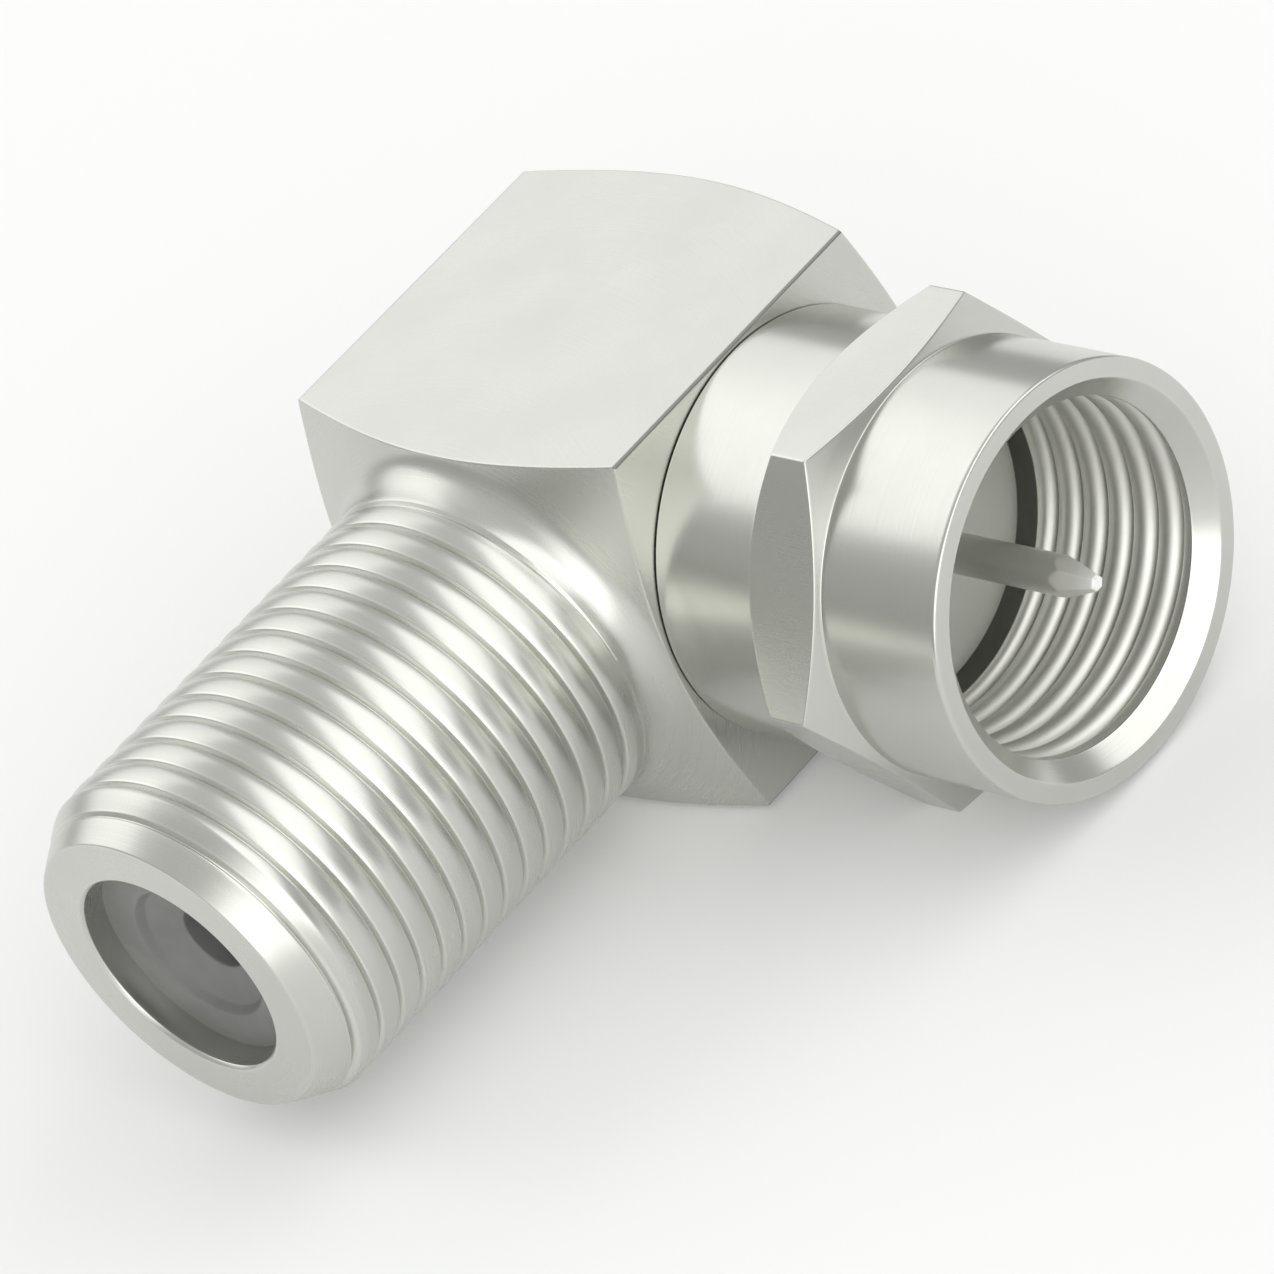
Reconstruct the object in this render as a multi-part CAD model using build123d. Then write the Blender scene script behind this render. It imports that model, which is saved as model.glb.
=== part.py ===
from build123d import *
from math import radians, tan
import os

# Right-angle coax adapter: a threaded jack on one end, a swivelling nut with a centre pin on the other.
# Sizes are in millimetres. The jack's axis is Y with its mouth at the origin and its depth along +Y.
# The plug's axis is X, crosses the jack's axis and points out of the nut's mouth.

# Thread that both ends share, 3/8 inch with 32 turns to the inch
thread_crest_dia = 9.5
thread_height = 0.42
relief_depth = 0.05

# Clearances
press_gap = 0.02
running_gap = 0.05
face_gap = 0.1
finger_gap = 0.35
flange_gap = 0.08

# Elbow body, turned from square bar
shoulder_height = 0.625
bar_length = 10.75
bar_edge_round = 0.1
shoulder_angle = 21.5
back_face_dia = 9.7

# Jack barrel
jack_length = 12.9
lead_height = 0.7
lead_angle = 30
root_fillet = 0.95
mouth_dia = 5.75
mouth_depth = 0.75
mouth_edge = 0.05

# Steps of the bore inside the elbow body
mouth_lip = 0.175
bore_step = 0.25
cap_step = 0.6
cap_depth = 1.2
cap_recess = 0.1
cap_edge = 0.15

# Front insulator, seen in the jack's mouth
front_insulator_length = 2.9
dish_dia = 3.7
dish_step = 0.25
dish_depth = 0.6
guide_hole_dia = 1.8
guide_hole_length = 0.6

# Spring contact of the jack
contact_set_back = 0.2
finger_dia = 2.1
socket_dia = 0.9
socket_depth = 6.2
socket_lead = 0.2
drill_point_angle = 59
slot_width = 0.2
slot_length = 5.0
shank_dia = 2.2
shank_past_pin = 1.1
stop_dia = 3.0
stop_length = 0.8

# Rear insulator, which carries the contact
rear_insulator_length = 3.0
rear_insulator_to_pin = 4.275

# Plug ferrule, pressed into the elbow's side
ferrule_dia = 7.0
ferrule_press_length = 1.675
flange_thickness = 1.32
flange_edge = 0.12
bead_dia = 4.0
bead_lip_height = 0.4
bead_lip_length = 0.5

# Centre pin
pin_dia = 1.0
pin_step = 0.2
pin_past_nut = 0.31
pin_taper_length = 1.1
pin_tip_width = 0.34
pin_facets = 6
pin_past_contact = 0.7

# Coupling nut, with its lengths measured from its rear face
nut_length = 8.9
nut_lip_length = 1.625
nut_wall = 0.45
barrel_step = 0.08
flat_height = 0.17
collar_length = 3.2
hex_length = 2.08
hex_rear_angle = 40
hex_front_angle = 21
nut_edge = 0.12
mouth_chamfer = 0.5
thread_set_back = 0.2

# Diameters that follow from the sizes above
thread_bore_dia = thread_crest_dia - 2 * thread_height
relief_dia = thread_crest_dia + 2 * relief_depth
bar_side = thread_crest_dia + 2 * shoulder_height
jack_face_dia = thread_crest_dia - 2 * lead_height
front_bore_dia = mouth_dia + 2 * mouth_lip
rear_bore_dia = front_bore_dia + 2 * bore_step
cap_bore_dia = rear_bore_dia + 2 * cap_step
flange_dia = thread_bore_dia - 2 * flange_gap
pin_root_dia = pin_dia + 2 * pin_step
collar_dia = relief_dia + 2 * nut_wall
barrel_dia = collar_dia + 2 * barrel_step
hex_flats = barrel_dia + 2 * flat_height

# Places along the jack's axis
plug_y = jack_length + bar_length / 2
shoulder_slope = tan(radians(shoulder_angle))
back_y = jack_length + bar_length + (bar_side - back_face_dia) / 2 * shoulder_slope
cap_seat_y = back_y - cap_depth
guide_start = mouth_depth + dish_depth
guide_end = guide_start + guide_hole_length
contact_start = guide_end + contact_set_back
rear_insulator_end = plug_y - rear_insulator_to_pin
rear_bore_start = rear_insulator_end - rear_insulator_length

# Places along the plug's axis
bar_face = bar_side / 2
ferrule_seat = bar_face - ferrule_press_length
nut_rear = bar_face + face_gap
nut_mouth = nut_rear + nut_length
nut_lip_front = nut_rear + nut_lip_length
flange_back = nut_lip_front + face_gap
ferrule_front = flange_back + flange_thickness
thread_start = ferrule_front + thread_set_back
hex_rear = nut_rear + collar_length
hex_front = hex_rear + hex_length
pin_tip = nut_mouth + pin_past_nut

# Working planes whose Z runs down each axis
jack_plane = Plane(origin=(0, 0, 0), x_dir=(1, 0, 0), z_dir=(0, 1, 0))
plug_plane = Plane(origin=(0, plug_y, 0), x_dir=(0, 1, 0), z_dir=(1, 0, 0))


def section(points):
    """A closed half section, from pairs of radius and distance along the axis."""
    return make_face(Polyline([(r, 0, z) for r, z in points], close=True))


def turned(points):
    """A solid turned about Z from its half section."""
    return revolve(section(points), Axis.Z)


def rod(diameter, start, end):
    """A plain cylinder along Z between two distances."""
    return Pos(0, 0, (start + end) / 2) * Cylinder(diameter / 2, end - start)


def elbow_outside():
    """Square bar turned down to the barrel, with a cone at each shoulder and a round at the root."""
    crest, face = thread_crest_dia / 2, jack_face_dia / 2
    lead_end = lead_height / tan(radians(lead_angle))
    past_corner = bar_side
    root = jack_length - shoulder_height * shoulder_slope
    front_far = jack_length + (past_corner - bar_face) * shoulder_slope
    back_far = back_y - (past_corner - back_face_dia / 2) * shoulder_slope
    profile = section([
        (0, 0), (face, 0), (crest, lead_end), (crest, root), (past_corner, front_far),
        (past_corner, back_far), (back_face_dia / 2, back_y), (0, back_y),
    ])
    corner = profile.vertices().sort_by_distance((crest, 0, root))[0]
    turning = revolve(fillet(corner, root_fillet), Axis.Z)
    bar = extrude(Rectangle(bar_side, bar_side), back_y)
    bar = fillet(bar.edges().filter_by(Axis.Z), bar_edge_round)
    return turning & bar


def elbow_body():
    """The elbow with its stepped bore along the jack and the ferrule's bore in its side."""
    mouth, front = mouth_dia / 2, front_bore_dia / 2
    rear, cap = rear_bore_dia / 2, cap_bore_dia / 2
    bore = turned([
        (0, 0), (mouth + mouth_edge, 0), (mouth, mouth_edge), (mouth, mouth_depth),
        (front, mouth_depth), (front, rear_bore_start), (rear, rear_bore_start),
        (rear, cap_seat_y), (cap, cap_seat_y), (cap, back_y), (0, back_y),
    ])
    side_bore = rod(bead_dia, 0, ferrule_seat) + rod(ferrule_dia, ferrule_seat, bar_side)
    return jack_plane * (elbow_outside() - bore) - plug_plane * side_bore


def back_cap():
    """Disc pressed into the back of the elbow, behind the joint of contact and pin."""
    radius = cap_bore_dia / 2 - press_gap
    top = back_y - cap_recess
    return jack_plane * turned([
        (0, cap_seat_y), (radius, cap_seat_y), (radius, top - cap_edge), (radius - cap_edge, top), (0, top),
    ])


def jack_front_insulator():
    """Bush behind the mouth's lip, dished round the hole that guides the mate's centre wire."""
    outer = front_bore_dia / 2 - press_gap
    dish, hole = dish_dia / 2, guide_hole_dia / 2
    pocket = finger_dia / 2 + finger_gap
    end = mouth_depth + front_insulator_length
    return jack_plane * turned([
        (dish, mouth_depth), (outer, mouth_depth), (outer, end), (pocket, end),
        (pocket, guide_end), (hole, guide_end), (hole, guide_start), (dish, mouth_depth + dish_step),
    ])


def socket_contact():
    """Sprung socket with four fingers, a stop on the rear insulator and a cross hole for the pin."""
    socket = socket_dia / 2
    socket_end = contact_start + socket_depth
    point = socket / tan(radians(drill_point_angle))
    sleeve = rod(finger_dia, contact_start, socket_end)
    shank = rod(shank_dia, socket_end, plug_y + shank_past_pin)
    stop = rod(stop_dia, rear_bore_start - stop_length, rear_bore_start)
    hollow = turned([
        (0, contact_start), (socket + socket_lead, contact_start), (socket, contact_start + socket_lead),
        (socket, socket_end - point), (0, socket_end),
    ])
    slot = Pos(0, 0, contact_start + slot_length / 2) * Box(2 * finger_dia, slot_width, slot_length)
    fingers = sleeve - hollow - slot - Rot(0, 0, 90) * slot
    cross_hole = rod(pin_root_dia + 2 * press_gap, -shank_dia, shank_dia)
    return jack_plane * (fingers + shank + stop) - plug_plane * cross_hole


def jack_rear_insulator():
    """Bush on the shoulder of the elbow's bore, round the contact's shank."""
    inner = shank_dia / 2 + press_gap
    outer = rear_bore_dia / 2 - press_gap
    return jack_plane * turned([
        (inner, rear_bore_start), (outer, rear_bore_start),
        (outer, rear_insulator_end), (inner, rear_insulator_end),
    ])


def plug_ferrule():
    """Flanged tube pressed into the elbow's side: the nut turns on it and its flange keeps the nut on."""
    shank = ferrule_dia / 2 - press_gap
    flange, bead = flange_dia / 2, bead_dia / 2
    lip = bead - bead_lip_height
    lip_end = ferrule_seat + bead_lip_length
    return plug_plane * turned([
        (lip, ferrule_seat), (shank, ferrule_seat), (shank, flange_back), (flange, flange_back),
        (flange, ferrule_front - flange_edge), (flange - flange_edge, ferrule_front),
        (bead, ferrule_front), (bead, lip_end), (lip, lip_end),
    ])


def plug_insulator():
    """Bead that centres the pin in the ferrule."""
    inner = pin_root_dia / 2 + press_gap
    outer = bead_dia / 2 - press_gap
    start = ferrule_seat + bead_lip_length
    return plug_plane * turned([
        (inner, start), (outer, start), (outer, ferrule_front), (inner, ferrule_front),
    ])


def centre_pin():
    """Pin from the contact's cross hole out through the nut's mouth, ground to a faceted point."""
    taper_start = pin_tip - pin_taper_length
    root = rod(pin_root_dia, -pin_past_contact, ferrule_front)
    shaft = rod(pin_dia, ferrule_front, taper_start)
    around_pin = RegularPolygon(pin_dia / 2, pin_facets, major_radius=False)
    tip = RegularPolygon(pin_tip_width / 2, pin_facets, major_radius=False)
    facets = loft([Pos(0, 0, taper_start) * around_pin, Pos(0, 0, pin_tip) * tip])
    point = facets & rod(pin_dia, taper_start, pin_tip)
    return plug_plane * (root + shaft + point)


def nut_outside():
    """Hexagon with a cone on each side, between the rear collar and the round front barrel."""
    flat, collar, barrel = hex_flats / 2, collar_dia / 2, barrel_dia / 2
    past_corner = hex_flats
    rear_slope = tan(radians(hex_rear_angle))
    front_slope = tan(radians(hex_front_angle))
    rear_cone = turned([
        (0, nut_rear), (collar - nut_edge, nut_rear), (collar, nut_rear + nut_edge),
        (collar, hex_rear - (flat - collar) * rear_slope),
        (past_corner, hex_rear + (past_corner - flat) * rear_slope),
        (past_corner, nut_mouth), (0, nut_mouth),
    ])
    front_cone = turned([
        (0, nut_rear), (past_corner, nut_rear),
        (past_corner, hex_front - (past_corner - flat) * front_slope),
        (barrel, hex_front + (flat - barrel) * front_slope),
        (barrel, nut_mouth - nut_edge), (barrel - nut_edge, nut_mouth), (0, nut_mouth),
    ])
    hexagon = RegularPolygon(flat, 6, major_radius=False)
    return rear_cone & front_cone & extrude(hexagon, nut_mouth)


def coupling_nut():
    """Swivelling nut: a lip behind the ferrule's flange, a relief and the bore of the inner thread."""
    lip = ferrule_dia / 2 - press_gap + running_gap
    relief, thread = relief_dia / 2, thread_bore_dia / 2
    bore = turned([
        (0, nut_rear), (lip, nut_rear), (lip, nut_lip_front), (relief, nut_lip_front),
        (relief, thread_start), (thread, thread_start), (thread, nut_mouth - mouth_chamfer),
        (thread + mouth_chamfer, nut_mouth), (0, nut_mouth),
    ])
    return plug_plane * (nut_outside() - bore)


pieces = {
    "elbow_body": elbow_body,
    "back_cap": back_cap,
    "jack_front_insulator": jack_front_insulator,
    "socket_contact": socket_contact,
    "jack_rear_insulator": jack_rear_insulator,
    "plug_ferrule": plug_ferrule,
    "plug_insulator": plug_insulator,
    "centre_pin": centre_pin,
    "coupling_nut": coupling_nut,
}

os.makedirs("parts", exist_ok=True)
for name, make in pieces.items():
    export_step(make(), f"parts/{name}.step")
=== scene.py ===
"""Right-angle coax adapter: finer meshes with both threads cut, finishes, floor, lamps and camera."""
import math

import bmesh
import bpy
import numpy as np
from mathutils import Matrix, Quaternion, Vector


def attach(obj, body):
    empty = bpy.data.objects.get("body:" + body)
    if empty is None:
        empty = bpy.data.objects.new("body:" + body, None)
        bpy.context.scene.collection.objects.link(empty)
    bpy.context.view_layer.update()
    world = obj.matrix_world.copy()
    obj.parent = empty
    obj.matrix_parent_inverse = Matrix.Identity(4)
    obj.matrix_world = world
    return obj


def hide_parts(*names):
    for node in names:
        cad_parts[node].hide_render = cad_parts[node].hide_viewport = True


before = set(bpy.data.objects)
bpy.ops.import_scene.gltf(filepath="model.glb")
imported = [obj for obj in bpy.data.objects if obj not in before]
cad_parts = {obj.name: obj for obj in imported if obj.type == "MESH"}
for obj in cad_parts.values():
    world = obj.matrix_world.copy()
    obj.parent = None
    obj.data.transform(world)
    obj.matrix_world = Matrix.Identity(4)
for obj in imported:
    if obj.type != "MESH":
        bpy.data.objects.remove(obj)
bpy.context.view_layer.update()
scene = bpy.context.scene

# Sizes in millimetres. The jack's axis is Y, and the plug's axis is X at PLUG_Y. The sizes are those of the
# solids, but for small edges and rounds, and for NUT_REAR and THREAD_START, which follow the photo.
MM = 0.001
PLUG_Y = 18.275
PITCH = 0.79375

# Elbow, places along Y from the jack's ring
CREST_R = 4.75
BAR_FACE = 5.375
BAR_CORNER = 0.1
SHOULDER_SLOPE = math.tan(math.radians(21.5))
ROOT_FILLET = 0.95
BARREL_END, BACK_Y = 12.9, 23.8568
BACK_FACE_R = 4.85
LEAD_FACE_R = 4.05
LEAD_SLOPE = math.tan(math.radians(30))
MOUTH_R, MOUTH_EDGE = 2.875, 0.08
LIP_DEPTH, BORE_STEP, CAP_SEAT = 0.75, 11.0, 22.6568
FRONT_BORE_R, REAR_BORE_R, CAP_BORE_R = 3.05, 3.3, 3.9
PIN_BORE_START, PIN_BORE_R = 1.0, 2.0
FERRULE_SEAT, FERRULE_BORE_R = 3.7, 3.5
PAST_FACE = 7.0

# Nut, places along X
NUT_REAR, NUT_MOUTH = 5.41, 14.375
LIP_FRONT, LIP_R = 7.1, 3.53
RELIEF_R = 4.8
THREAD_START = 9.0
NUT_MINOR_R = 4.33
MOUTH_CHAMFER = 0.5
HEX_FLAT, HEX_CORNER, HEX_FIRST = 5.5, 0.09, math.pi / 6
HEX_REAR, HEX_FRONT = 8.675, 10.755
REAR_SLOPE = math.tan(math.radians(40))
FRONT_SLOPE = math.tan(math.radians(21))
BARREL_R, COLLAR_R = 5.33, 5.25
REAR_EDGE = 0.02

# Cap and front bush, along Y
CAP_R, CAP_THICK, CAP_CHAMFER = 3.88, 1.1, 0.15
BUSH_R, BUSH_END = 3.03, 3.65
DISH_R, DISH_FLOOR_R, DISH_FLOOR = 1.92, 1.78, 1.0
GUIDE_R, GUIDE_START, GUIDE_END = 0.9, 1.35, 1.95
SOCKET_HOLE_R = 1.4

# Ferrule, bead and pin, along X
FERRULE_R, FLANGE_REAR, FLANGE_R = 3.48, 7.2, 4.25
PLUG_FACE, FLANGE_CHAMFER = 8.52, 0.12
BEAD_SEAT, BEAD_BORE_R, FERRULE_HOLE_R = 4.2, 2.0, 1.6
BEAD_R, BEAD_HOLE_R = 1.98, 0.72
PIN_REAR, PIN_TIP = -0.7, 14.685
SHANK_R, PIN_R = 0.7, 0.5
POINT_LENGTH, TIP_FLAT, TIP_EDGE = 1.1, 0.17, 0.03
PIN_CORNER, FACET_LEAD = 0.012, 0.02

# Radii of the small rounds on edges
HAIR, FINE, SMALL, MEDIUM, FULL = 0.01, 0.03, 0.035, 0.04, 0.05
RING_ROUND, RIM_ROUND, DISH_ROUND = 0.055, 0.08, 0.09

# Numbers of the materials on one mesh
TURNED, DRAWN, TAPPED = 0, 1, 2


# Geometry helpers

# A round's steps, the reach of its supporting lines, and the most that each takes of a line beside it
ROUND_STEPS, SUPPORT, ROUND_SHARE = 3, 0.06, 0.3

# Rounds below this size get a light painted highlight along the edge
HIGHLIGHT_BELOW, EDGE_HIGHLIGHT = 0.06, 0.12

# Angles round the threaded pieces, a plain turned one, the side bore and the pin, and along a prism's corner
THREAD_ANGLES, PLAIN_ANGLES, BORE_ANGLES, PIN_ANGLES, CORNER_ANGLES = 240, 128, 96, 144, 7

# Even angles nearer to a corner's than this share of their step are left out
ANGLE_SHARE = 0.3


def point(along, radius, size=0.0, finish=TURNED):
    """One corner of a profile: its place, the radius of its round, and the material of what follows it."""
    return along, radius, size, finish


def rounded(points, support=SUPPORT):
    """Corner points to a finer polyline of (along, radius, edge mark, material).

    Each round gets a supporting line on both sides, so that the faces beside it stay flat. Small rounds are
    marked for a painted highlight.
    """
    out = []
    for i, (along, radius, size, finish) in enumerate(points):
        if not size or i in (0, len(points) - 1):
            out.append((along, radius, 0.0, finish))
            continue
        here = np.array([along, radius])
        before = np.array(points[i - 1][:2]) - here
        after = np.array(points[i + 1][:2]) - here
        finish_before = points[i - 1][3]
        reach_b, reach_a = np.linalg.norm(before), np.linalg.norm(after)
        u, v = before / reach_b, after / reach_a
        half = math.acos(max(-1, min(1, float(u @ v)))) / 2
        cut = min(size / math.tan(half), ROUND_SHARE * reach_b, ROUND_SHARE * reach_a)
        bend = cut * math.tan(half)
        centre = here + (u + v) / np.linalg.norm(u + v) * bend / math.sin(half)
        start, end = here + u * cut - centre, here + v * cut - centre
        sign = 1 if start[0] * end[1] - start[1] * end[0] > 0 else -1
        turn = sign * (math.pi - 2 * half)
        pull = min(support, ROUND_SHARE * reach_b)
        out.append((*(here + u * (cut + pull)), 0.0, finish_before))
        for k in range(ROUND_STEPS + 1):
            spot = centre + rotated(start, turn * k / ROUND_STEPS)
            # Small rounds get a painted highlight through the edge mark
            painted_highlight = EDGE_HIGHLIGHT if size < HIGHLIGHT_BELOW else 0.0
            out.append((*spot, painted_highlight, finish if k == ROUND_STEPS else finish_before))
        pull = min(support, ROUND_SHARE * reach_a)
        out.append((*(here + v * (cut + pull)), 0.0, finish))
    return out


def rotated(arrow, angle):
    """A flat vector turned by an angle."""
    c, s = math.cos(angle), math.sin(angle)
    return np.array([c * arrow[0] - s * arrow[1], s * arrow[0] + c * arrow[1]])


def prism_radius(theta, sides, apothem, corner, first):
    """Distance from the axis to a prism with rounded corners; first is the angle of one flat's normal."""
    wedge = math.pi / sides
    psi = (theta - first + wedge) % (2 * wedge) - wedge
    flat = apothem / math.cos(psi)
    if abs(flat * math.sin(psi)) <= (apothem - corner) * math.tan(wedge):
        return flat
    reach, delta = (apothem - corner) / math.cos(wedge), wedge - abs(psi)
    return reach * math.cos(delta) + math.sqrt(max(corner**2 - (reach * math.sin(delta)) ** 2, 0))


def prism_angles(count, sides, apothem, corner, first):
    """Evenly spread angles, with extra ones round each corner's arc."""
    wedge = math.pi / sides
    reach = (apothem - corner) / math.cos(wedge)
    arcs = []
    for side in range(sides):
        middle = first + wedge + 2 * wedge * side
        for t in np.linspace(-wedge, wedge, CORNER_ANGLES):
            off = math.atan2(corner * math.sin(t), reach + corner * math.cos(t))
            arcs.append((middle + off) % (2 * math.pi))
    even = [k * 2 * math.pi / count for k in range(count)]
    gap = ANGLE_SHARE * 2 * math.pi / count

    def far_from_arcs(angle):
        return all(abs((angle - b + math.pi) % (2 * math.pi) - math.pi) > gap for b in arcs)

    return sorted([a for a in even if far_from_arcs(a)] + arcs)


def place(axis, theta, along, radius):
    """A point in the shared frame, in metres. The angle turns the right-handed way about the axis."""
    s, c = math.sin(theta) * radius, math.cos(theta) * radius
    if axis == "Y":
        return s * MM, along * MM, c * MM
    return along * MM, (PLUG_Y + c) * MM, s * MM


class Builder:
    """Collects the vertices and faces of one mesh."""

    def __init__(self, axis):
        self.axis, self.verts, self.edge, self.faces, self.mats = axis, [], [], [], []

    def add(self, theta, along, radius, edge):
        self.verts.append(place(self.axis, theta, along, radius))
        self.edge.append(edge)
        return len(self.verts) - 1

    def quad(self, a, b, c, d, mat):
        """One face; where corners coincide it is a triangle or nothing."""
        loop = []
        for i in (a, b, c, d):
            if i not in loop:
                loop.append(i)
        if len(loop) > 2:
            self.faces.append(loop)
            self.mats.append(mat)

    def strip(self, lower, upper, mat):
        """Quads between two rings of vertex numbers."""
        n = len(lower)
        for k in range(n):
            j = (k + 1) % n
            self.quad(lower[k], upper[k], upper[j], lower[j], mat)

    def mesh(self, name):
        data = bpy.data.meshes.new(name)
        data.from_pydata(self.verts, [], self.faces)
        data.polygons.foreach_set("material_index", self.mats)
        # The edge mark: above nought a painted highlight, below nought a painted dark line of shade
        mark = data.attributes.new("edge", "FLOAT", "POINT")
        mark.data.foreach_set("value", self.edge)
        data.update()
        ob = bpy.data.objects.new(name, data)
        scene.collection.objects.link(ob)
        return ob


def clean(ob, sharp_degrees=35):
    """Welds the poles, points the faces outwards, and marks the crisp edges."""
    bm = bmesh.new()
    bm.from_mesh(ob.data)
    bmesh.ops.remove_doubles(bm, verts=bm.verts, dist=2e-7)
    bmesh.ops.recalc_face_normals(bm, faces=bm.faces)
    limit = math.radians(sharp_degrees)
    for f in bm.faces:
        f.smooth = True
    for e in bm.edges:
        e.smooth = not (len(e.link_faces) == 2 and e.calc_face_angle(0) > limit)
    bm.to_mesh(ob.data)
    bm.free()
    ob.data.update()


def even_normals(ob):
    """Large flat faces keep their own direction right up to the small rounds at their edges."""
    mod = ob.modifiers.new("normals", "WEIGHTED_NORMAL")
    mod.mode, mod.weight, mod.keep_sharp = "FACE_AREA", 50, True


# Points of the helix nearer than this to its ends become the ends' own
HELIX_MERGE = 0.008


def threaded_piece(name, axis, angles, before, after, low, high, samples, phase, shape, finish):
    """A closed turned or milled piece with a helical stretch from low to high.

    before and after give each angle's profile up to and past the stretch. samples describe one pitch,
    and phase turns the helix. shape gives the radius at a place along it, and how much of the groove is
    left there.
    """
    b = Builder(axis)
    heads = [before(t) for t in angles]
    tails = [after(t) for t in angles]
    head_rings = [[b.add(t, *h[i][:3]) for t, h in zip(angles, heads)] for i in range(len(heads[0]))]
    tail_rings = [[b.add(t, *h[i][:3]) for t, h in zip(angles, tails)] for i in range(len(tails[0]))]
    per = len(samples)
    first = math.floor(low / PITCH) - 2
    last = math.ceil(high / PITCH) + 1
    rows = (last - first) * per
    grid = []
    for k, t in enumerate(angles):
        column = []
        for j in range(rows):
            share, drop, edge = samples[j % per]
            along = (first + j // per + share + (t + phase) / (2 * math.pi)) * PITCH
            if along <= low + HELIX_MERGE:
                column.append(head_rings[-1][k])
            elif along >= high - HELIX_MERGE:
                column.append(tail_rings[0][k])
            else:
                radius, fade = shape(along, drop)
                column.append(b.add(t, along, radius, edge * fade))
        grid.append(column)

    def at(k, j):
        """The vertex in column k and row j; past the last column the helix has climbed by one pitch."""
        if k == len(angles):
            k, j = 0, j + per
        return grid[k][j] if j < rows else tail_rings[0][k]

    for k in range(len(angles)):
        for j in range(rows):
            b.quad(at(k, j), at(k, j + 1), at(k + 1, j + 1), at(k + 1, j), finish)
    for rings, shapes in ((head_rings, heads), (tail_rings, tails)):
        for i in range(len(rings) - 1):
            b.strip(rings[i], rings[i + 1], shapes[0][i][3])
    b.strip(tail_rings[-1], head_rings[0], tails[0][-1][3])
    return b.mesh(name)


def turned_piece(name, axis, profile, count=PLAIN_ANGLES, closed=True):
    """A plain turned piece from its corner points."""
    b = Builder(axis)
    angles = [k * 2 * math.pi / count for k in range(count)]
    line = rounded(profile)
    rings = [[b.add(t, a, r, e) for t in angles] for a, r, e, _ in line]
    for i in range(len(rings) - 1):
        b.strip(rings[i], rings[i + 1], line[i][3])
    if closed:
        b.strip(rings[-1], rings[0], line[-1][3])
    ob = b.mesh(name)
    clean(ob)
    return ob


# Half the width of a groove's flat floor
GROOVE_FLOOR = 0.012


def ridge_samples(groove, dome, depth, shoulder, steps, mark):
    """One pitch as (share of the pitch, drop from the crest, edge mark), from the middle of the groove on.

    The groove is a narrow V. The wide ridge beside it is domed by the given height, with rounded shoulders.
    The groove and its shoulders get the mark, a painted highlight.
    """
    width = PITCH - groove
    bend = width**2 / (8 * dome) + dome / 2
    line = [point(0.0, depth), point(GROOVE_FLOOR, depth)]
    for k in range(steps + 1):
        across = width * (k / steps - 0.5)
        drop = bend - math.sqrt(bend**2 - across**2)
        line.append(point(groove / 2 + width * k / steps, drop, shoulder if k in (0, steps) else 0.0))
    line += [point(PITCH - GROOVE_FLOOR, depth), point(PITCH, depth)]
    shaped = rounded(line, support=0.0)
    out = []
    for i, (along, drop, _, _) in enumerate(shaped[:-1]):
        if i and abs(along - shaped[i - 1][0]) <= 1e-6:
            continue
        in_groove = min(along, PITCH - along) < groove / 2 + shoulder / 2
        out.append((along / PITCH, drop, mark if in_groove else 0.0))
    return out


# Shape of the elbow

THREAD_LOW, THREAD_HIGH = 0.3, 11.98
LEAD_FADE = (0.45, 0.95)
RUN_OUT = 11.66
THREAD_PHASE = -0.13 * 2 * math.pi
FILLET_STEPS = 8

# Mark that paints a dark line of shade on the bar's long corners, the share of their round that gets it, and
# how near to the corner it reaches
LONG_CORNER_SHADE_MARK, CORNER_SHARE, CORNER_NEAR = -1.0, 0.94, 0.02

# The outer groove and its shoulders get a painted highlight at half strength
OUTER_RIDGE = ridge_samples(groove=0.16, dome=0.055, depth=0.2, shoulder=0.06, steps=10, mark=0.5)


def outer_thread(along, drop):
    """The groove starts part of the way up the lead-in cone and fades out at the block's end."""
    surface = min(CREST_R, LEAD_FACE_R + along * LEAD_SLOPE)
    rise = (along - LEAD_FADE[0]) / (LEAD_FADE[1] - LEAD_FADE[0])
    fall = (THREAD_HIGH - along) / (THREAD_HIGH - RUN_OUT)
    fade = min(max(min(rise, fall), 0), 1)
    return surface - drop * fade, fade


def fillet_arc():
    """The round between the barrel and the shoulder's cone, as (along, radius)."""
    corner_y = BARREL_END - (BAR_FACE - CREST_R) * SHOULDER_SLOPE
    u = np.array([-1.0, 0.0])
    v = np.array([SHOULDER_SLOPE, 1.0]) / math.hypot(SHOULDER_SLOPE, 1)
    half = math.acos(float(u @ v)) / 2
    here = np.array([corner_y, CREST_R])
    cut = ROOT_FILLET / math.tan(half)
    centre = here + (u + v) / np.linalg.norm(u + v) * ROOT_FILLET / math.sin(half)
    start = here + u * cut - centre
    turn = math.pi - 2 * half
    return [tuple(centre + rotated(start, turn * k / FILLET_STEPS)) for k in range(FILLET_STEPS + 1)]


FILLET = fillet_arc()


def elbow_before(theta):
    """The jack's mouth and ring, up to the thread; the same all round."""
    return rounded([
        point(LIP_DEPTH, FRONT_BORE_R),
        point(LIP_DEPTH, MOUTH_R),
        point(MOUTH_EDGE, MOUTH_R, RING_ROUND),
        point(0.0, MOUTH_R + MOUTH_EDGE, RING_ROUND),
        point(0.0, LEAD_FACE_R, RING_ROUND),
        point(THREAD_LOW, LEAD_FACE_R + THREAD_LOW * LEAD_SLOPE),
    ])


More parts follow.
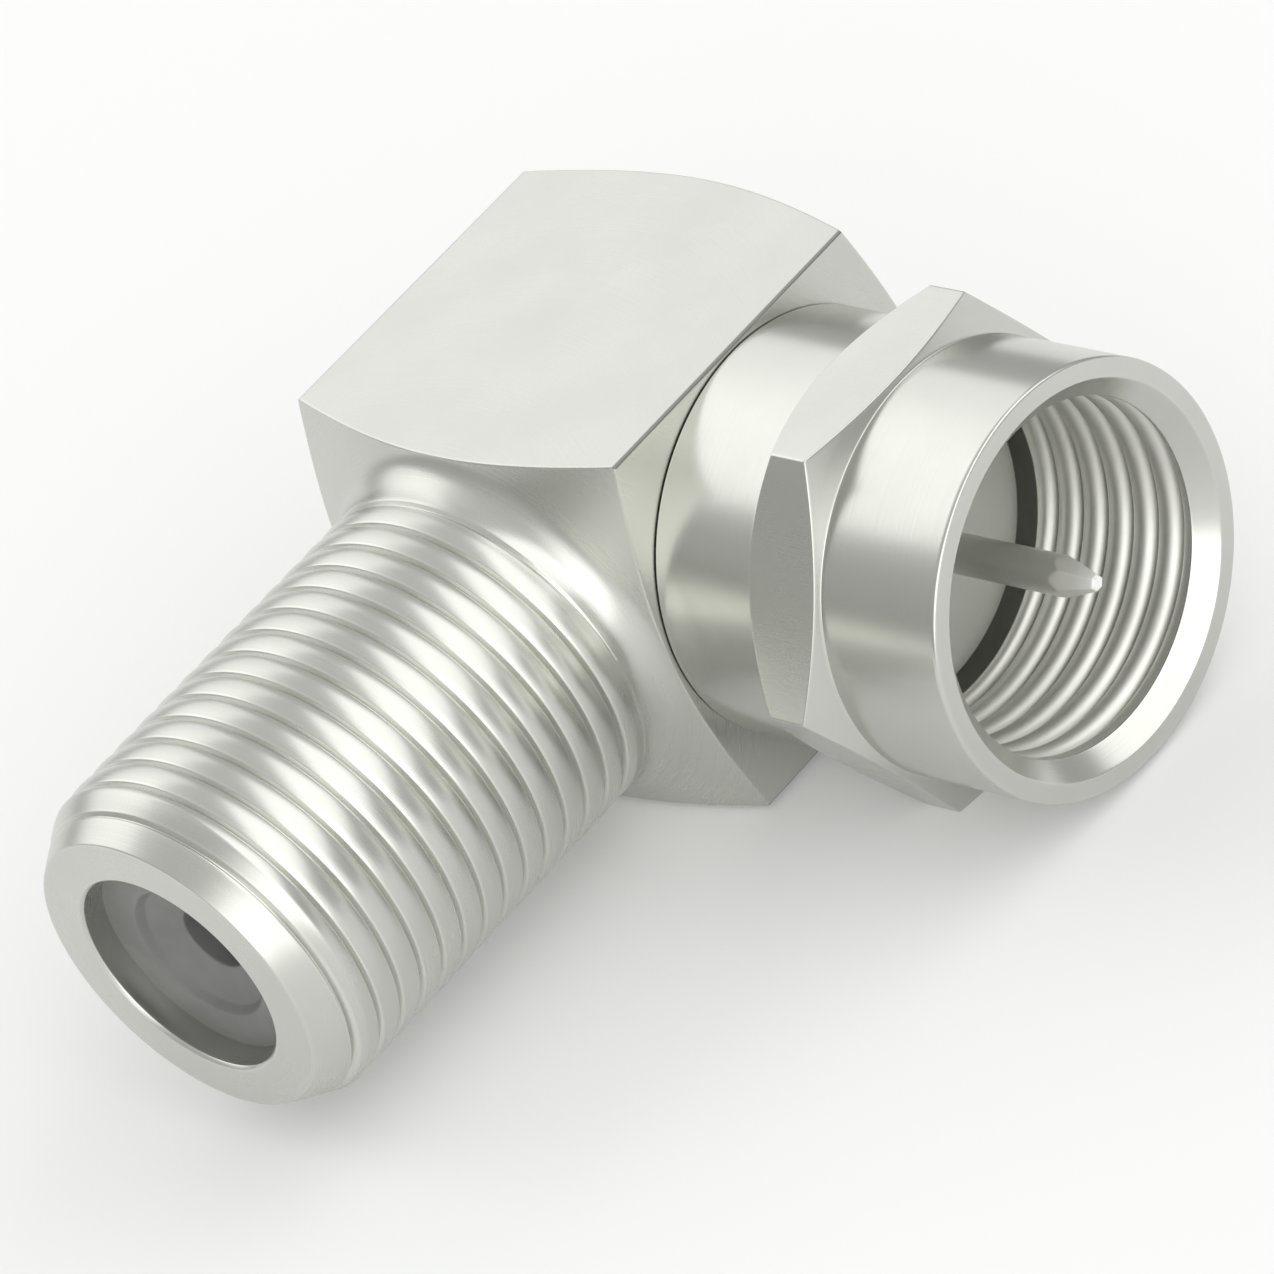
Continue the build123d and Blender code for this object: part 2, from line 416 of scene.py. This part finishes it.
def elbow_after(theta):
    """From the thread over the fillet, the shoulder and the square bar to the back, and the bores inside."""
    reach = prism_radius(theta, 4, BAR_FACE, BAR_CORNER, 0.0)
    on_corner = reach > (BAR_FACE - BAR_CORNER) * math.sqrt(2) + CORNER_SHARE * BAR_CORNER
    tail = rounded([
        point(*FILLET[-1]),
        point(BARREL_END + (reach - BAR_FACE) * SHOULDER_SLOPE, reach, SMALL, DRAWN),
        point(BACK_Y - (reach - BACK_FACE_R) * SHOULDER_SLOPE, reach, SMALL),
        point(BACK_Y, BACK_FACE_R, FULL),
        point(BACK_Y, CAP_BORE_R, MEDIUM),
        point(CAP_SEAT, CAP_BORE_R),
        point(CAP_SEAT, REAR_BORE_R),
        point(BORE_STEP, REAR_BORE_R),
        point(BORE_STEP, FRONT_BORE_R),
    ])
    # The bar's long corners get the mark for a painted dark line of shade
    if on_corner:
        tail = [(a, r, LONG_CORNER_SHADE_MARK if abs(r - reach) < CORNER_NEAR else e, m) for a, r, e, m in tail]
    return [point(THREAD_HIGH, CREST_R)] + [point(a, r) for a, r in FILLET] + tail[1:]


def cut_side_bore(ob):
    """The stepped bore in the elbow's side, for the pin and the ferrule."""
    cutter = turned_piece("side_bore", "X", [
        point(PIN_BORE_START, 0.0),
        point(PIN_BORE_START, PIN_BORE_R),
        point(FERRULE_SEAT, PIN_BORE_R),
        point(FERRULE_SEAT, FERRULE_BORE_R),
        point(PAST_FACE, FERRULE_BORE_R),
        point(PAST_FACE, 0.0),
    ], count=BORE_ANGLES, closed=False)
    mod = ob.modifiers.new("bore", "BOOLEAN")
    mod.operation, mod.solver, mod.object = "DIFFERENCE", "EXACT", cutter
    bpy.context.view_layer.update()
    done = bpy.data.meshes.new_from_object(ob.evaluated_get(bpy.context.evaluated_depsgraph_get()))
    ob.modifiers.clear()
    ob.data = done
    bpy.data.objects.remove(cutter)


# Shape of the coupling nut

INNER_LAND, INNER_FADE = 0.02, 0.3
INNER_END = NUT_MOUTH - MOUTH_CHAMFER - INNER_LAND
INNER_RIDGE = ridge_samples(groove=0.08, dome=0.24, depth=0.33, shoulder=0.02, steps=14, mark=0.0)


def inner_thread(along, drop):
    """The groove fades out towards both ends, so that the mouth's chamfer and the first edge stay smooth."""
    fade = min(max(min(INNER_END - along, along - THREAD_START) / INNER_FADE, 0), 1)
    return NUT_MINOR_R + drop * fade, fade


def nut_before(theta):
    """The lip that turns on the ferrule, and the relief behind the thread; the same all round."""
    return rounded([
        point(NUT_REAR, LIP_R, 0.0, TAPPED),
        point(LIP_FRONT, LIP_R, FINE, TAPPED),
        point(LIP_FRONT, RELIEF_R, 0.0, TAPPED),
        point(THREAD_START, RELIEF_R, 0.0, TAPPED),
        point(THREAD_START, NUT_MINOR_R, 0.0, TAPPED),
    ])


def nut_after(theta):
    """From the thread over the mouth, the front barrel, the hexagon between its two cones and the collar."""
    reach = prism_radius(theta, 6, HEX_FLAT, HEX_CORNER, HEX_FIRST)
    return rounded([
        point(INNER_END, NUT_MINOR_R),
        point(NUT_MOUTH - MOUTH_CHAMFER, NUT_MINOR_R, FINE),
        point(NUT_MOUTH, NUT_MINOR_R + MOUTH_CHAMFER, MEDIUM),
        point(NUT_MOUTH, BARREL_R, RIM_ROUND),
        point(HEX_FRONT + (HEX_FLAT - BARREL_R) * FRONT_SLOPE, BARREL_R, FINE),
        point(HEX_FRONT - (reach - HEX_FLAT) * FRONT_SLOPE, reach, SMALL, DRAWN),
        point(HEX_REAR + (reach - HEX_FLAT) * REAR_SLOPE, reach, SMALL),
        point(HEX_REAR - (HEX_FLAT - COLLAR_R) * REAR_SLOPE, COLLAR_R, FINE),
        point(NUT_REAR + REAR_EDGE, COLLAR_R, HAIR),
        point(NUT_REAR, COLLAR_R - REAR_EDGE, HAIR),
        point(NUT_REAR, LIP_R + REAR_EDGE),
    ])


# Node helpers

def nodes_of(mat):
    mat.use_nodes = True
    tree = mat.node_tree
    return tree, tree.nodes["Principled BSDF"]


def add_node(tree, kind, **values):
    """A new node; each value goes to the input of that name, or else to the node's own setting."""
    node = tree.nodes.new(kind)
    for key, value in values.items():
        if key in node.inputs:
            node.inputs[key].default_value = value
        else:
            setattr(node, key, value)
    return node


def math_node(tree, operation, a, b):
    node = add_node(tree, "ShaderNodeMath", operation=operation)
    for socket, value in zip(node.inputs, (a, b)):
        if isinstance(value, (int, float)):
            socket.default_value = value
        else:
            tree.links.new(value, socket)
    return node.outputs[0]


def blend_colour(tree, factor, a, b):
    node = add_node(tree, "ShaderNodeMix", data_type="RGBA")
    tree.links.new(factor, node.inputs["Factor"])
    for socket, value in ((node.inputs[6], a), (node.inputs[7], b)):
        if isinstance(value, tuple):
            socket.default_value = (*value, 1)
        else:
            tree.links.new(value, socket)
    return node.outputs[2]


def remap(tree, value, low, high, to_low, to_high):
    node = tree.nodes.new("ShaderNodeMapRange")
    tree.links.new(value, node.inputs["Value"])
    for name, number in (("From Min", low), ("From Max", high), ("To Min", to_low), ("To Max", to_high)):
        node.inputs[name].default_value = number
    return node.outputs[0]


def object_place(tree):
    """The place on the object, in metres of the shared frame."""
    return tree.nodes.new("ShaderNodeTexCoord").outputs["Object"]


def noise(tree, where, **values):
    """A noise pattern with its values at a place, or at a distance if it is one-dimensional."""
    node = add_node(tree, "ShaderNodeTexNoise", **values)
    tree.links.new(where, node.inputs["W" if node.noise_dimensions == "1D" else "Vector"])
    return node.outputs["Fac"]


def bump(tree, shader, height, depth):
    """Relief of the given depth in millimetres."""
    node = add_node(tree, "ShaderNodeBump", Strength=1.0, Distance=depth * MM)
    tree.links.new(height, node.inputs["Height"])
    tree.links.new(node.outputs[0], shader.inputs["Normal"])


# Finishes

# Scales of the noise patterns, in cells per metre
TURNED_MARKS = 14000.0
DRAWN_ACROSS, DRAWN_ALONG = 20000, 500
PLATE_BLOTCHES, PLATE_GRAIN = 420.0, 9000.0
PLASTIC_BLOTCHES, PLASTIC_GRAIN = 700.0, 14000.0

# Depths of the marks, in millimetres
TURNED_DEPTH, DRAWN_DEPTH, PLASTIC_DEPTH = 0.0004, 0.00002, 0.0006

# Painted highlight on marked edges and a painted dark line of shade on the long corners, as shares of the
# lighter colour
EDGE_HIGHLIGHT_GAIN, PAINTED_CORNER_SHADE = 1.25, 0.3

# Stretches of the noise that become a change of colour or roughness, and how much roughness they change
COLOUR_SPAN, ROUGH_SPAN = (0.35, 0.65), (0.3, 0.7)
PLATE_UNEVEN, PLATE_STREAKS, PLASTIC_UNEVEN = 0.015, 0.02, 0.05

# Grain added to the relief of the marks
GRAIN_SHARE = 0.35


def turned_marks(tree, where, axis):
    """Marks over the distance along the axis plus that from it, so that they run round every turned face."""
    split = tree.nodes.new("ShaderNodeSeparateXYZ")
    tree.links.new(where, split.inputs[0])
    join = tree.nodes.new("ShaderNodeCombineXYZ")
    length = add_node(tree, "ShaderNodeVectorMath", operation="LENGTH")
    tree.links.new(split.outputs["Z"], join.inputs["Z"])
    if axis == "Y":
        tree.links.new(split.outputs["X"], join.inputs["X"])
        along = split.outputs["Y"]
    else:
        across = math_node(tree, "SUBTRACT", split.outputs["Y"], PLUG_Y * MM)
        tree.links.new(across, join.inputs["Y"])
        along = split.outputs["X"]
    tree.links.new(join.outputs[0], length.inputs[0])
    distance = math_node(tree, "ADD", length.outputs["Value"], along)
    return noise(tree, distance, noise_dimensions="1D", Scale=TURNED_MARKS, Detail=3.0, Roughness=0.6)


def drawn_marks(tree, where, axis):
    """Long straight marks along a drawn bar."""
    scale = [DRAWN_ACROSS, DRAWN_ACROSS, DRAWN_ACROSS]
    scale["XYZ".index(axis)] = DRAWN_ALONG
    stretch = add_node(tree, "ShaderNodeMapping", Scale=scale)
    tree.links.new(where, stretch.inputs["Vector"])
    return noise(tree, stretch.outputs[0], Scale=1.0, Detail=3.0, Roughness=0.6)


def blotches_and_painted_edges(tree, blotch, light, dark):
    """Blotches between two tones, lighter on marked edges and darker on the bar's long corners."""
    # Marked edges get a painted highlight, and the bar's long corners a painted dark line of shade
    edge = add_node(tree, "ShaderNodeAttribute", attribute_name="edge").outputs["Fac"]
    tone = blend_colour(tree, remap(tree, blotch, *COLOUR_SPAN, 0, 1), light, dark)
    lifted = blend_colour(tree, edge, tone, tuple(min(c * EDGE_HIGHLIGHT_GAIN, 1.0) for c in light))
    corner_shade_share = math_node(tree, "MULTIPLY", edge, -1.0)
    return blend_colour(tree, corner_shade_share, lifted, tuple(c * PAINTED_CORNER_SHADE for c in light))


def plated(name, axis, colours, rough, drawn=False):
    """Nickel plate: marks round the turning axis, or straight along a drawn bar, with soft blotches."""
    mat = bpy.data.materials.new(name)
    tree, shader = nodes_of(mat)
    shader.inputs["Metallic"].default_value = 1.0
    where = object_place(tree)
    marks = drawn_marks(tree, where, axis) if drawn else turned_marks(tree, where, axis)
    blotch = noise(tree, where, Scale=PLATE_BLOTCHES, Detail=4.0, Roughness=0.55)
    grain = noise(tree, where, Scale=PLATE_GRAIN, Detail=2.0)
    tree.links.new(blotches_and_painted_edges(tree, blotch, *colours), shader.inputs["Base Color"])
    uneven = remap(tree, blotch, *ROUGH_SPAN, rough - PLATE_UNEVEN, rough + PLATE_UNEVEN)
    streaky = remap(tree, marks, *ROUGH_SPAN, -PLATE_STREAKS, PLATE_STREAKS)
    tree.links.new(math_node(tree, "ADD", uneven, streaky), shader.inputs["Roughness"])
    relief = math_node(tree, "ADD", marks, math_node(tree, "MULTIPLY", grain, GRAIN_SHARE))
    bump(tree, shader, relief, DRAWN_DEPTH if drawn else TURNED_DEPTH)
    return mat


def moulded(name, colours, rough):
    """Matt plastic with faint flow blotches and a fine grain."""
    mat = bpy.data.materials.new(name)
    tree, shader = nodes_of(mat)
    where = object_place(tree)
    blotch = noise(tree, where, Scale=PLASTIC_BLOTCHES, Detail=4.0)
    grain = noise(tree, where, Scale=PLASTIC_GRAIN, Detail=2.0)
    tone = blend_colour(tree, remap(tree, blotch, *COLOUR_SPAN, 0, 1), *colours)
    tree.links.new(tone, shader.inputs["Base Color"])
    uneven = remap(tree, blotch, *ROUGH_SPAN, rough - PLASTIC_UNEVEN, rough + PLASTIC_UNEVEN)
    tree.links.new(uneven, shader.inputs["Roughness"])
    bump(tree, shader, grain, PLASTIC_DEPTH)
    return mat


# Each finish blends from its lighter to its darker colour
NICKEL = ((0.6, 0.605, 0.568), (0.58, 0.585, 0.548))
# The ferrule's flange and the nut's tapped inside get lighter copies of the nickel plate, painted light
# against the shade inside the nut
LIGHTENED_SATIN_NICKEL = ((0.76, 0.765, 0.72), (0.72, 0.725, 0.685))
LIGHTENED_TAPPED_NICKEL = ((0.76, 0.765, 0.72), (0.7, 0.705, 0.665))
# The pin's plate is lighter than the socket's, painted light against the shade inside the nut
LIGHTENED_PIN_PLATE = ((0.84, 0.84, 0.8), (0.78, 0.78, 0.74))
SOCKET_PLATE = ((0.56, 0.56, 0.53), (0.5, 0.5, 0.47))
GREY_PLASTIC = ((0.22, 0.224, 0.214), (0.19, 0.193, 0.185))

turned_y = plated("nickel_turned_jack", "Y", NICKEL, rough=0.29)
turned_x = plated("nickel_turned_nut", "X", NICKEL, rough=0.23)
drawn_y = plated("nickel_drawn_bar", "Y", NICKEL, rough=0.26, drawn=True)
drawn_x = plated("nickel_hex_flats", "X", NICKEL, rough=0.26, drawn=True)
lightened_satin_x = plated("nickel_satin_ferrule_lightened", "X", LIGHTENED_SATIN_NICKEL, rough=0.6)
lightened_inner_x = plated("nickel_tapped_thread_lightened", "X", LIGHTENED_TAPPED_NICKEL, rough=0.46)
pin_metal = plated("contact_metal", "X", LIGHTENED_PIN_PLATE, rough=0.35)
contact_metal = plated("contact_metal_inside", "Y", SOCKET_PLATE, rough=0.3)
plastic = moulded("insulator_grey", GREY_PLASTIC, rough=0.5)


# Pieces

def dress(ob, body, node, slot, *materials):
    """Gives a finished mesh its finishes and its place in the part."""
    for mat in materials:
        ob.data.materials.append(mat)
    even_normals(ob)
    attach(ob, body)
    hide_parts(node)


def make_elbow():
    """Square block with conical shoulders and the threaded jack barrel."""
    angles = prism_angles(THREAD_ANGLES, 4, BAR_FACE, BAR_CORNER, 0.0)
    ob = threaded_piece(
        "elbow_with_thread", "Y", angles, elbow_before, elbow_after,
        low=THREAD_LOW, high=THREAD_HIGH, samples=OUTER_RIDGE, phase=THREAD_PHASE, shape=outer_thread,
        finish=TURNED,
    )
    clean(ob)
    cut_side_bore(ob)
    clean(ob)
    ob.data.materials.clear()
    dress(ob, "body", "elbow_body", "nickel_plate", turned_y, drawn_y)


def make_nut():
    """Collar, hexagon and front barrel with the inner thread."""
    angles = prism_angles(THREAD_ANGLES, 6, HEX_FLAT, HEX_CORNER, HEX_FIRST)
    ob = threaded_piece(
        "nut_with_thread", "X", angles, nut_before, nut_after,
        low=THREAD_START, high=INNER_END, samples=INNER_RIDGE, phase=0.0, shape=inner_thread, finish=TAPPED,
    )
    clean(ob)
    dress(ob, "nut", "coupling_nut", "nickel_plate", turned_x, drawn_x, lightened_inner_x)


def make_cap():
    """Disc in the elbow's back, with a chamfered rim."""
    face = CAP_SEAT + CAP_THICK
    ob = turned_piece("cap_turned", "Y", [
        point(CAP_SEAT, 0.0),
        point(CAP_SEAT, CAP_R),
        point(face - CAP_CHAMFER, CAP_R),
        point(face, CAP_R - CAP_CHAMFER, FINE),
        point(face, 0.0),
    ], closed=False)
    dress(ob, "body", "back_cap", "nickel_plate", turned_y)


def make_bush():
    """Dished bush in the jack's mouth, with the guide hole for the mate's wire."""
    ob = turned_piece("jack_bush", "Y", [
        point(BUSH_END, BUSH_R),
        point(LIP_DEPTH, BUSH_R),
        point(LIP_DEPTH, DISH_R, RIM_ROUND),
        point(DISH_FLOOR, DISH_FLOOR_R, DISH_ROUND),
        point(GUIDE_START, GUIDE_R, FULL),
        point(GUIDE_END, GUIDE_R),
        point(GUIDE_END, SOCKET_HOLE_R),
        point(BUSH_END, SOCKET_HOLE_R),
    ])
    dress(ob, "body", "jack_front_insulator", "insulator", plastic)


def make_ferrule():
    """Sleeve in the elbow's side, with the flange that holds the nut and shows inside it."""
    ob = turned_piece("ferrule_turned", "X", [
        point(FERRULE_SEAT, FERRULE_HOLE_R),
        point(FERRULE_SEAT, FERRULE_R),
        point(FLANGE_REAR, FERRULE_R),
        point(FLANGE_REAR, FLANGE_R),
        point(PLUG_FACE - FLANGE_CHAMFER, FLANGE_R, MEDIUM),
        point(PLUG_FACE, FLANGE_R - FLANGE_CHAMFER, MEDIUM),
        point(PLUG_FACE, BEAD_BORE_R, FINE),
        point(BEAD_SEAT, BEAD_BORE_R),
        point(BEAD_SEAT, FERRULE_HOLE_R),
    ])
    dress(ob, "body", "plug_ferrule", "nickel_plate", lightened_satin_x)


def make_bead():
    """Insulating bead round the pin."""
    ob = turned_piece("bead_turned", "X", [
        point(BEAD_SEAT, BEAD_HOLE_R),
        point(BEAD_SEAT, BEAD_R),
        point(PLUG_FACE, BEAD_R, FINE),
        point(PLUG_FACE, BEAD_HOLE_R, FINE),
    ])
    dress(ob, "body", "plug_insulator", "insulator", plastic)


FACET_STEPS, FACET_SHARP = 24, 20


def make_pin():
    """Round pin with six ground facets that run to a small flat tip."""
    b = Builder("X")
    start = PIN_TIP - POINT_LENGTH
    angles = prism_angles(PIN_ANGLES, 6, PIN_R, PIN_CORNER, HEX_FIRST)
    shank = [
        (PIN_REAR, 0.0),
        (PIN_REAR, SHANK_R),
        (PLUG_FACE, SHANK_R),
        (PLUG_FACE, PIN_R),
        (start - FACET_LEAD, PIN_R),
    ]
    rings = [[b.add(t, along, r, 0.0) for t in angles] for along, r in shank]
    for k in range(FACET_STEPS + 1):
        flat = PIN_R + (TIP_FLAT - PIN_R) * k / FACET_STEPS
        ground = [min(PIN_R, prism_radius(t, 6, flat, PIN_CORNER, HEX_FIRST)) for t in angles]
        along = start + POINT_LENGTH * k / FACET_STEPS
        if k == FACET_STEPS:
            along -= TIP_EDGE / 2
        # Towards the tip the point's rows, and the tip itself, get a painted highlight
        painted_highlight = max(k / FACET_STEPS * 2 - 1, 0)
        rings.append([b.add(t, along, r, painted_highlight) for t, r in zip(angles, ground)])
    rings.append([b.add(t, PIN_TIP, TIP_FLAT - TIP_EDGE, 1.0) for t in angles])
    rings.append([b.add(t, PIN_TIP, 0.0, 1.0) for t in angles])
    for low, high in zip(rings, rings[1:]):
        b.strip(low, high, TURNED)
    ob = b.mesh("pin_faceted")
    clean(ob, FACET_SHARP)
    dress(ob, "body", "centre_pin", "contact_metal", pin_metal)


def dress_inside():
    """The two pieces behind the front bush keep their solids' shape and only get their finish."""
    for node, mat in (("socket_contact", contact_metal), ("jack_rear_insulator", plastic)):
        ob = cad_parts[node]
        ob.data.materials.clear()
        ob.data.materials.append(mat)


make_elbow()
make_nut()
make_cap()
make_bush()
make_ferrule()
make_bead()
make_pin()
dress_inside()


# Floor

# In metres; the gap keeps the floor just clear of the part
FLOOR_SIZE, FLOOR_GAP = 2.4, 2e-6
FLOOR_GREY, FLOOR_LIFT = 0.77, 0.13


def floor_white():
    """Pale matt paper. Seen directly or mirrored it is lifted towards white; the part's shadow stays."""
    mat = bpy.data.materials.new("floor_white")
    tree, shader = nodes_of(mat)
    shader.inputs["Base Color"].default_value = (FLOOR_GREY, FLOOR_GREY, FLOOR_GREY, 1)
    shader.inputs["Roughness"].default_value = 1.0
    shader.inputs["Specular IOR Level"].default_value = 0.0
    shader.inputs["Emission Color"].default_value = (1, 1, 1, 1)
    path = tree.nodes.new("ShaderNodeLightPath")
    seen = math_node(tree, "MAXIMUM", path.outputs["Is Camera Ray"], path.outputs["Is Glossy Ray"])
    seen = math_node(tree, "MAXIMUM", seen, path.outputs["Is Transmission Ray"])
    tree.links.new(math_node(tree, "MULTIPLY", seen, FLOOR_LIFT), shader.inputs["Emission Strength"])
    return mat


bpy.ops.mesh.primitive_plane_add(size=FLOOR_SIZE, location=(0, 0, -HEX_FLAT * MM - FLOOR_GAP))
floor = bpy.context.object
floor.name = "floor"
floor.data.materials.append(floor_white())


# Light

# The part's middle and the lamps' distance from it, in metres
CENTRE = Vector((0.0047, 0.0123, 0.0))
LAMP_DISTANCE = 1.0
ROOM_LOW, ROOM_HIGH = 0.45, 0.7
ROOM_COLOUR = (1, 1, 0.985, 1)


def direction(azimuth, elevation):
    """A direction from the part: azimuth from +X towards +Y, both in degrees."""
    a, e = math.radians(azimuth), math.radians(elevation)
    return Vector((math.cos(a) * math.cos(e), math.sin(a) * math.cos(e), math.sin(e)))


def softbox(name, azimuth, elevation, width, height, radiance):
    """A rectangular lamp that faces the part."""
    way = direction(azimuth, elevation)
    data = bpy.data.lights.new(name, "AREA")
    data.shape, data.size, data.size_y = "RECTANGLE", width, height
    data.energy = radiance * math.pi * width * height
    ob = bpy.data.objects.new(name, data)
    ob.location = CENTRE + way * LAMP_DISTANCE
    ob.rotation_euler = way.to_track_quat("Z", "Y").to_euler()
    scene.collection.objects.link(ob)


def glow(tree, where, azimuth, elevation, inner, outer, strength):
    """A round bright area of the room: full inside one angle from its middle, nothing past the other."""
    toward = add_node(tree, "ShaderNodeVectorMath", operation="DOT_PRODUCT")
    tree.links.new(where, toward.inputs[0])
    toward.inputs[1].default_value = direction(azimuth, elevation)
    edge, full = math.cos(math.radians(outer)), math.cos(math.radians(inner))
    return remap(tree, toward.outputs["Value"], edge, full, 0, strength)


def studio_world():
    """Grey room, a little lighter overhead, with one broad low glow in front and a faint one behind."""
    world = bpy.data.worlds.new("studio")
    scene.world = world
    world.use_nodes = True
    tree = world.node_tree
    where = tree.nodes.new("ShaderNodeTexCoord").outputs["Generated"]
    split = tree.nodes.new("ShaderNodeSeparateXYZ")
    tree.links.new(where, split.inputs[0])
    room = remap(tree, split.outputs["Z"], 0.0, 1.0, ROOM_LOW, ROOM_HIGH)
    front = glow(tree, where, azimuth=-37, elevation=2, inner=24, outer=50, strength=1.6)
    behind = glow(tree, where, azimuth=188, elevation=45, inner=12, outer=35, strength=0.25)
    level = math_node(tree, "ADD", math_node(tree, "ADD", room, front), behind)
    background = tree.nodes["Background"]
    background.inputs["Color"].default_value = ROOM_COLOUR
    tree.links.new(level, background.inputs["Strength"])


softbox("softbox_back", azimuth=173, elevation=36, width=1.45, height=0.85, radiance=0.74)
softbox("softbox_front", azimuth=32, elevation=48, width=1.5, height=0.85, radiance=1.15)
studio_world()


# Camera, in metres and degrees

CAMERA_PLACE = Vector((0.14203, -0.08504, 0.11523))
CAMERA_AIM = Vector((0.00378, 0.01343, 0.0))
CAMERA_ROLL = -25.0
CAMERA_LENS, CAMERA_SENSOR = 242.39, 36
CAMERA_CLIP = (0.01, 10)

camera = bpy.data.objects.new("camera", bpy.data.cameras.new("camera"))
scene.collection.objects.link(camera)
roll = Quaternion((0, 0, 1), math.radians(CAMERA_ROLL))
camera.location = CAMERA_PLACE
camera.rotation_euler = ((CAMERA_PLACE - CAMERA_AIM).to_track_quat("Z", "Y") @ roll).to_euler()
camera.data.lens = CAMERA_LENS
camera.data.sensor_width = CAMERA_SENSOR
camera.data.clip_start, camera.data.clip_end = CAMERA_CLIP
scene.camera = camera
scene.view_settings.view_transform = "Standard"
